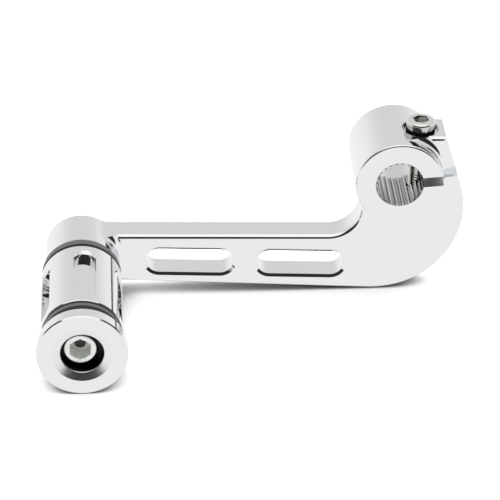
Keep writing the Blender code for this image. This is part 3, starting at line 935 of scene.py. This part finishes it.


# Each ring's front is painted black and dull as shade, on a strip as wide as the last number of its place
rings = {
    "inner": 10.3,
    "outer": 13.4,
    "width": 5.1,
    "round": 1.3,
    "steps": 192,
    "places": (("frontRing", "front_ring", 6.7, 2.5), ("rearRing", "rear_ring", 47.2, 1.4)),
}
for name, node, start, shadeWidth in rings["places"]:
    finishAndShadeZones(
        ringRubber,
        [
            {
                "axis": pegCenter,
                "radius": rings["outer"] + skin,
                "span": (start - 0.2, start + shadeWidth),
                "color": (0.004, 0.004, 0.004),
                "roughness": 0.9,
            }
        ],
    )
    corner = rings["outer"] - rings["round"]
    end = start + rings["width"]
    profile = [(rings["inner"], start)]
    profile += arcPoints((corner, start + rings["round"]), rings["round"], -math.pi / 2, 0, 10)
    profile += arcPoints((corner, end - rings["round"]), rings["round"], 0, math.pi / 2, 10)
    profile += [(rings["inner"], end), (rings["inner"], start)]
    ring = turnPiece(name, profile, rings["steps"])
    finishPiece(ring, name, ringRubber)
    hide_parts(node)
print("rubber rings made")


sleeve = {
    "radius": 13.6,
    "start": 12.1,
    "end": 46.9,
    "rim": 0.2,
    "bore": 4.9,
    "pockets": 5,
    "pocketTurn": math.radians(4.3),
    "pocketLength": 27.3,
    "pocketWidth": 7.1,
    "pocketDepth": 2.9,
    "pocketStart": 3.4,
    "pocketChamfer": 0.9,
    "flareAlong": 1.3,
    "flareAcross": 0.4,
    "steps": 240,
}


def buildSleeve():
    outer = sleeve["radius"]
    start = sleeve["start"]
    end = sleeve["end"]
    rim = sleeve["rim"]
    profile = [(sleeve["bore"], start), (outer - rim, start), (outer, start + rim), (outer, end - rim)]
    profile += [(outer - rim, end), (sleeve["bore"], end), (sleeve["bore"], start)]
    tube = turnPiece("sleeve", profile, sleeve["steps"])
    middle = start + sleeve["pocketStart"] + sleeve["pocketLength"] / 2
    shape = stadium(sleeve["pocketLength"], sleeve["pocketWidth"], (0, 0), math.pi / 2, 32)
    chamfer = sleeve["pocketChamfer"]
    spread = 2 * (chamfer + flarePast)
    length = sleeve["pocketLength"] + sleeve["flareAlong"] * spread
    width = sleeve["pocketWidth"] + sleeve["flareAcross"] * spread
    wide = stadium(length, width, (0, 0), math.pi / 2, 32)
    floor = outer - sleeve["pocketDepth"]
    upright = Matrix.Rotation(-math.pi / 2, 4, "X")
    for i in range(sleeve["pockets"]):
        turn = Matrix.Rotation(sleeve["pocketTurn"] + i * math.tau / sleeve["pockets"], 4, "Y")
        pocket = flarePiece("pocket", wide, -(outer + flarePast), shape, -(outer - chamfer), -floor)
        freeze(pocket, Matrix.Translation((0, middle * mm, 0)) @ turn @ upright)
        workInto(tube, pocket, "DIFFERENCE")
    return tube


tube = buildSleeve()
finishPiece(tube, "pocketedSleeve", sleeveChrome)
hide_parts("peg_sleeve")
print("sleeve made")


# What both screws share. The thread's shares are of its pitch.
screwShape = {
    "seatChamfer": 0.3,
    "tipChamfer": 0.6,
    "threadDepth": 0.55,
    "crestEnd": 0.12,
    "rootStart": 0.5,
    "rootEnd": 0.62,
    "coneSlope": 0.45,
    "leadInset": 0.35,
    "leadAbove": 0.75,
    "steps": 128,
    "drillSteps": 96,
}


# A socket head screw along +Y, its head's top at 0
def buildScrew(name, size, length):
    head = size["headRadius"]
    seat = size["headHeight"]
    bend = size["headRound"]
    thread = size["threadRadius"]
    pitch = size["threadPitch"]
    root = thread - screwShape["threadDepth"] * pitch
    tip = seat + length
    chamfer = screwShape["seatChamfer"]
    profile = [(0, 0)]
    profile += arcPoints((head - bend, bend), bend, -math.pi / 2, 0, 8)
    profile += [(head, seat - chamfer), (head - chamfer, seat), (thread, seat)]
    chamfer = screwShape["tipChamfer"]
    y = seat + size["threadStart"]
    while y + pitch < tip - chamfer:
        profile += [(thread, y), (thread, y + screwShape["crestEnd"] * pitch)]
        profile += [(root, y + screwShape["rootStart"] * pitch), (root, y + screwShape["rootEnd"] * pitch)]
        y += pitch
    profile += [(thread, y), (thread - chamfer, tip), (0, tip)]
    screw = turnPiece(name, profile, screwShape["steps"])

    corner = size["hex"] / math.sqrt(3)
    floor = size["hexDepth"]
    hexagon = arcPoints((0, 0), corner, size["hexTurn"], size["hexTurn"] + math.pi * 5 / 3, 5)
    workInto(screw, slabPiece("hexagon", hexagon, -past, floor), "DIFFERENCE")
    drill = size["drill"]
    cone = [(0, -past), (drill, -past), (drill, floor), (0, floor + drill * screwShape["coneSlope"])]
    workInto(screw, turnPiece("drill", cone, screwShape["drillSteps"]), "DIFFERENCE")
    mouth = corner - screwShape["leadInset"]
    above = screwShape["leadAbove"]
    lead = [(0, -above), (mouth + 2 * above, -above), (0, mouth / 2)]
    workInto(screw, turnPiece("lead", lead, screwShape["steps"]), "DIFFERENCE")
    return screw


# The socket of the peg's bolt has pale walls, and its end is painted dark as shade in the deep socket
pegAxis = atRest @ Vector((pegBolt["offset"] * mm, 0, 0))
socketFloor = pegBolt["headFront"] + pegBolt["hexDepth"]
socketEnd = socketFloor + pegBolt["drill"]
finishAndShadeZones(
    pegZinc,
    [
        {
            "axis": pegAxis,
            "radius": pegBolt["hex"] / math.sqrt(3) + skin,
            "span": (pegBolt["headFront"] + 3 * skin, socketEnd),
            "color": (0.95, 0.97, 0.93),
            "roughness": 0.7,
            "metallic": 0.3,
        },
        # The socket's end: painted shade
        {
            "axis": pegAxis,
            "radius": pegBolt["drill"] + 2 * skin,
            "span": (socketFloor - 2 * skin, socketEnd),
            "color": (0.06, 0.06, 0.06),
            "roughness": 0.4,
        },
    ],
)
screw = buildScrew("pegScrew", pegBolt, pegBolt["tip"] - pegBolt["headFront"] - pegBolt["headHeight"])
freeze(screw, Matrix.Translation((pegBolt["offset"] * mm, pegBolt["headFront"] * mm, 0)))
finishPiece(screw, "pegScrew", pegZinc)
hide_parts("peg_bolt")

# The clamp bolt's head is painted darker below its top, as shade in its socket and in the counterbore
# round it
headTop = clampPlace["seat"] + clampBolt["headHeight"]
clampTop = atRest @ (Vector((clampPlace["x"], clampPlace["y"], headTop)) * mm)
shadeStart, shadeEnd = clampBolt["shadeBand"]
finishAndShadeZones(
    clampSteel,
    [
        {
            "center": clampTop - Vector((2 * clampBolt["headRadius"], 0, (shadeStart + shadeEnd) / 2)) * mm,
            "across": (0, 0, 1),
            "along": (1, 0, 0),
            "half": (shadeEnd - shadeStart) / 2,
            "reach": 4 * clampBolt["headRadius"],
            "color": (0.58, 0.58, 0.56),
            "roughness": 0.14,
        }
    ],
)
screw = buildScrew("clampScrew", clampBolt, clampBolt["length"])
downwards = Matrix.Rotation(-math.pi / 2, 4, "X")
freeze(screw, Matrix.Translation((clampPlace["x"] * mm, clampPlace["y"] * mm, headTop * mm)) @ downwards)
finishPiece(screw, "clampScrew", clampSteel)
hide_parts("clamp_bolt")
print("screws made")


# A white table, which ends a little way in front of the lever. Its width and its ends are in metres.
stageSizes = {
    "width": 4.0,
    "front": -0.16,
    "back": 3.0,
    "tone": 1.0,
    "seenTone": 1.5,
    "mirroredTone": 1.03,
    # The painted contact shadow on the table: its reach in millimetres and its darkest tone, as seen and
    # as mirrored
    "contact": 14.0,
    "contactTone": 0.33,
    "mirroredContact": 12.0,
    "mirroredContactTone": 0.02,
    "contactEdge": (0.25, 0.58),
}
bpy.ops.object.select_all(action="DESELECT")
bpy.ops.mesh.primitive_plane_add(size=1.0, location=(0, 0, 0))
table = bpy.context.object
table.name = "table"
reach = (stageSizes["width"], stageSizes["back"] - stageSizes["front"], 1)
middle = (0, (stageSizes["back"] + stageSizes["front"]) / 2, 0)
freeze(table, Matrix.Translation(middle) @ Matrix.Diagonal((*reach, 1)))


# The camera sees the table white and the metal mirrors it evenly. Both see a painted shadow on it close to
# the lever, from an ambient-occlusion mask.
def tableFinish():
    material = bpy.data.materials.new("whiteTable")
    material.use_nodes = True
    nodes = material.node_tree.nodes
    links = material.node_tree.links
    shader = nodes["Principled BSDF"]
    shader.inputs["Roughness"].default_value = 0.9
    shader.inputs["Specular IOR Level"].default_value = 0.0
    path = nodes.new("ShaderNodeLightPath")
    tone = nodes.new("ShaderNodeMapRange")
    tone.inputs["To Min"].default_value = stageSizes["tone"]
    tone.inputs["To Max"].default_value = stageSizes["seenTone"]
    links.new(path.outputs["Is Camera Ray"], tone.inputs["Value"])

    # Painted shadow: darker where the table is hemmed in by the lever
    def contact(distance, darkest):
        lowest, highest = stageSizes["contactEdge"]
        near = nodes.new("ShaderNodeAmbientOcclusion")
        near.inputs["Distance"].default_value = distance * mm
        edge = nodes.new("ShaderNodeMapRange")
        edge.interpolation_type = "SMOOTHSTEP"
        edge.inputs["From Min"].default_value = lowest
        edge.inputs["From Max"].default_value = highest
        edge.inputs["To Min"].default_value = darkest
        links.new(near.outputs["AO"], edge.inputs["Value"])
        return edge.outputs["Result"]

    seen = nodes.new("ShaderNodeMath")
    seen.operation = "MULTIPLY"
    links.new(tone.outputs["Result"], seen.inputs[0])
    links.new(contact(stageSizes["contact"], stageSizes["contactTone"]), seen.inputs[1])
    links.new(seen.outputs["Value"], shader.inputs["Base Color"])
    mirrored = nodes.new("ShaderNodeEmission")
    mirrored.inputs["Strength"].default_value = stageSizes["mirroredTone"]
    shade = contact(stageSizes["mirroredContact"], stageSizes["mirroredContactTone"])
    links.new(shade, mirrored.inputs["Color"])
    mix = nodes.new("ShaderNodeMixShader")
    links.new(path.outputs["Is Glossy Ray"], mix.inputs[0])
    links.new(shader.outputs[0], mix.inputs[1])
    links.new(mirrored.outputs[0], mix.inputs[2])
    links.new(mix.outputs[0], nodes["Material Output"].inputs["Surface"])
    return material


table.data.materials.append(tableFinish())
print("table made")

# The studio round it, as the metal shows it: bright above and behind, dark beyond the table's front
studio = {
    "overhead": 1.22,
    "behind": 0.8,
    "horizon": 1.0,
    "dark": 0.03,
    "darkFrom": -0.25,
    "darkRise": 0.2,
    "darkTo": 0.66,
    "facing": (-0.24, -0.34),
    "diffuse": 1.36,
}


def buildStudio():
    world = bpy.data.worlds.new("studio")
    bpy.context.scene.world = world
    world.use_nodes = True
    nodes = world.node_tree.nodes
    links = world.node_tree.links
    nodes.clear()
    where = nodes.new("ShaderNodeTexCoord")
    parts = nodes.new("ShaderNodeSeparateXYZ")
    links.new(where.outputs["Generated"], parts.inputs["Vector"])

    def ramp(stops, source):
        node = nodes.new("ShaderNodeValToRGB")
        node.color_ramp.interpolation = "EASE"
        elements = node.color_ramp.elements
        elements[0].position, elements[1].position = stops[0][0], stops[-1][0]
        for position, _ in stops[1:-1]:
            elements.new(position)
        for element, (_, tone) in zip(elements, stops):
            element.color = (tone / 2, tone / 2, tone / 2, 1)
        links.new(source, node.inputs["Fac"])
        return node.outputs["Color"]

    def calculate(operation, one, two):
        node = nodes.new("ShaderNodeMath")
        node.operation = operation
        for socket, value in zip(node.inputs, (one, two)):
            if isinstance(value, float):
                socket.default_value = value
            else:
                links.new(value, socket)
        return node.outputs[0]

    # Height of a direction, from 0 straight down to 1 straight up
    height = calculate("MULTIPLY_ADD", parts.outputs["Z"], 0.5)
    height.node.inputs[2].default_value = 0.5

    def level(z):
        return (z + 1) / 2

    def blend(factor, one, two):
        node = nodes.new("ShaderNodeMix")
        node.data_type = "RGBA"
        links.new(factor, node.inputs[0])
        for socket, color in ((node.inputs[6], one), (node.inputs[7], two)):
            if isinstance(color, float):
                socket.default_value = (color, color, color, 1)
            else:
                links.new(color, socket)
        return node.outputs[2]

    def step(source, start, end):
        node = nodes.new("ShaderNodeMapRange")
        node.interpolation_type = "SMOOTHSTEP"
        node.inputs["From Min"].default_value = min(start, end)
        node.inputs["From Max"].default_value = max(start, end)
        node.inputs["To Min"].default_value = 0.0 if start < end else 1.0
        node.inputs["To Max"].default_value = 1.0 if start < end else 0.0
        links.new(source, node.inputs["Value"])
        return node.outputs["Result"]

    horizon = studio["horizon"]
    behind = studio["behind"]
    overhead = studio["overhead"]
    rise = [(0.0, horizon), (level(0.05), horizon), (level(0.5), behind), (level(0.72), behind)]
    back = ramp(rise + [(1.0, overhead)], height)
    front = ramp([(0.0, horizon), (level(0.1), horizon), (1.0, overhead)], height)
    # The dark behind the camera ends lower down in the middle than at the sides
    low = studio["darkFrom"]
    high = studio["darkTo"]
    sideways = calculate("ABSOLUTE", parts.outputs["X"], 0.0)
    raised = calculate("MULTIPLY_ADD", sideways, -studio["darkRise"])
    links.new(parts.outputs["Z"], raised.node.inputs[2])
    overLow = step(raised, low, low + 0.1)
    underHigh = step(parts.outputs["Z"], high + 0.05, high - 0.02)
    dark = calculate("MULTIPLY", overLow, underHigh)
    facing = step(parts.outputs["Y"], *studio["facing"])
    room = blend(facing, back, front)
    room = blend(calculate("MULTIPLY", dark, facing), room, studio["dark"] / 2)

    path = nodes.new("ShaderNodeLightPath")
    shown = nodes.new("ShaderNodeBackground")
    shown.inputs["Strength"].default_value = 2.0
    links.new(room, shown.inputs["Color"])
    lit = nodes.new("ShaderNodeBackground")
    lit.inputs["Strength"].default_value = 2.0 * studio["diffuse"]
    links.new(room, lit.inputs["Color"])
    plain = nodes.new("ShaderNodeBackground")
    plain.inputs["Color"].default_value = (1, 1, 1, 1)
    first = nodes.new("ShaderNodeMixShader")
    links.new(path.outputs["Is Diffuse Ray"], first.inputs[0])
    links.new(shown.outputs[0], first.inputs[1])
    links.new(lit.outputs[0], first.inputs[2])
    second = nodes.new("ShaderNodeMixShader")
    links.new(path.outputs["Is Camera Ray"], second.inputs[0])
    links.new(first.outputs[0], second.inputs[1])
    links.new(plain.outputs[0], second.inputs[2])
    out = nodes.new("ShaderNodeOutputWorld")
    links.new(second.outputs[0], out.inputs["Surface"])


buildStudio()
print("studio made")


# The camera as fitted to the photograph, its focal length in pixels of a picture 500 wide
view = {
    "position": (12.86 + restShift.x / mm, -728.77 + restShift.y / mm, 483.61),
    "azimuth": math.radians(3.257),
    "pitch": math.radians(30.556),
    "focalPixels": 2674.6,
    "widthPixels": 500,
}
eye = bpy.data.cameras.new("eye")
eye.sensor_width = 36
eye.lens = view["focalPixels"] * eye.sensor_width / view["widthPixels"]
eye.clip_start = 0.01
eye.clip_end = 20
camera = bpy.data.objects.new("camera", eye)
bpy.context.scene.collection.objects.link(camera)
camera.location = Vector(view["position"]) * mm
camera.rotation_euler = (math.pi / 2 - view["pitch"], 0, -view["azimuth"])
bpy.context.scene.camera = camera
bpy.context.scene.view_settings.view_transform = "Standard"
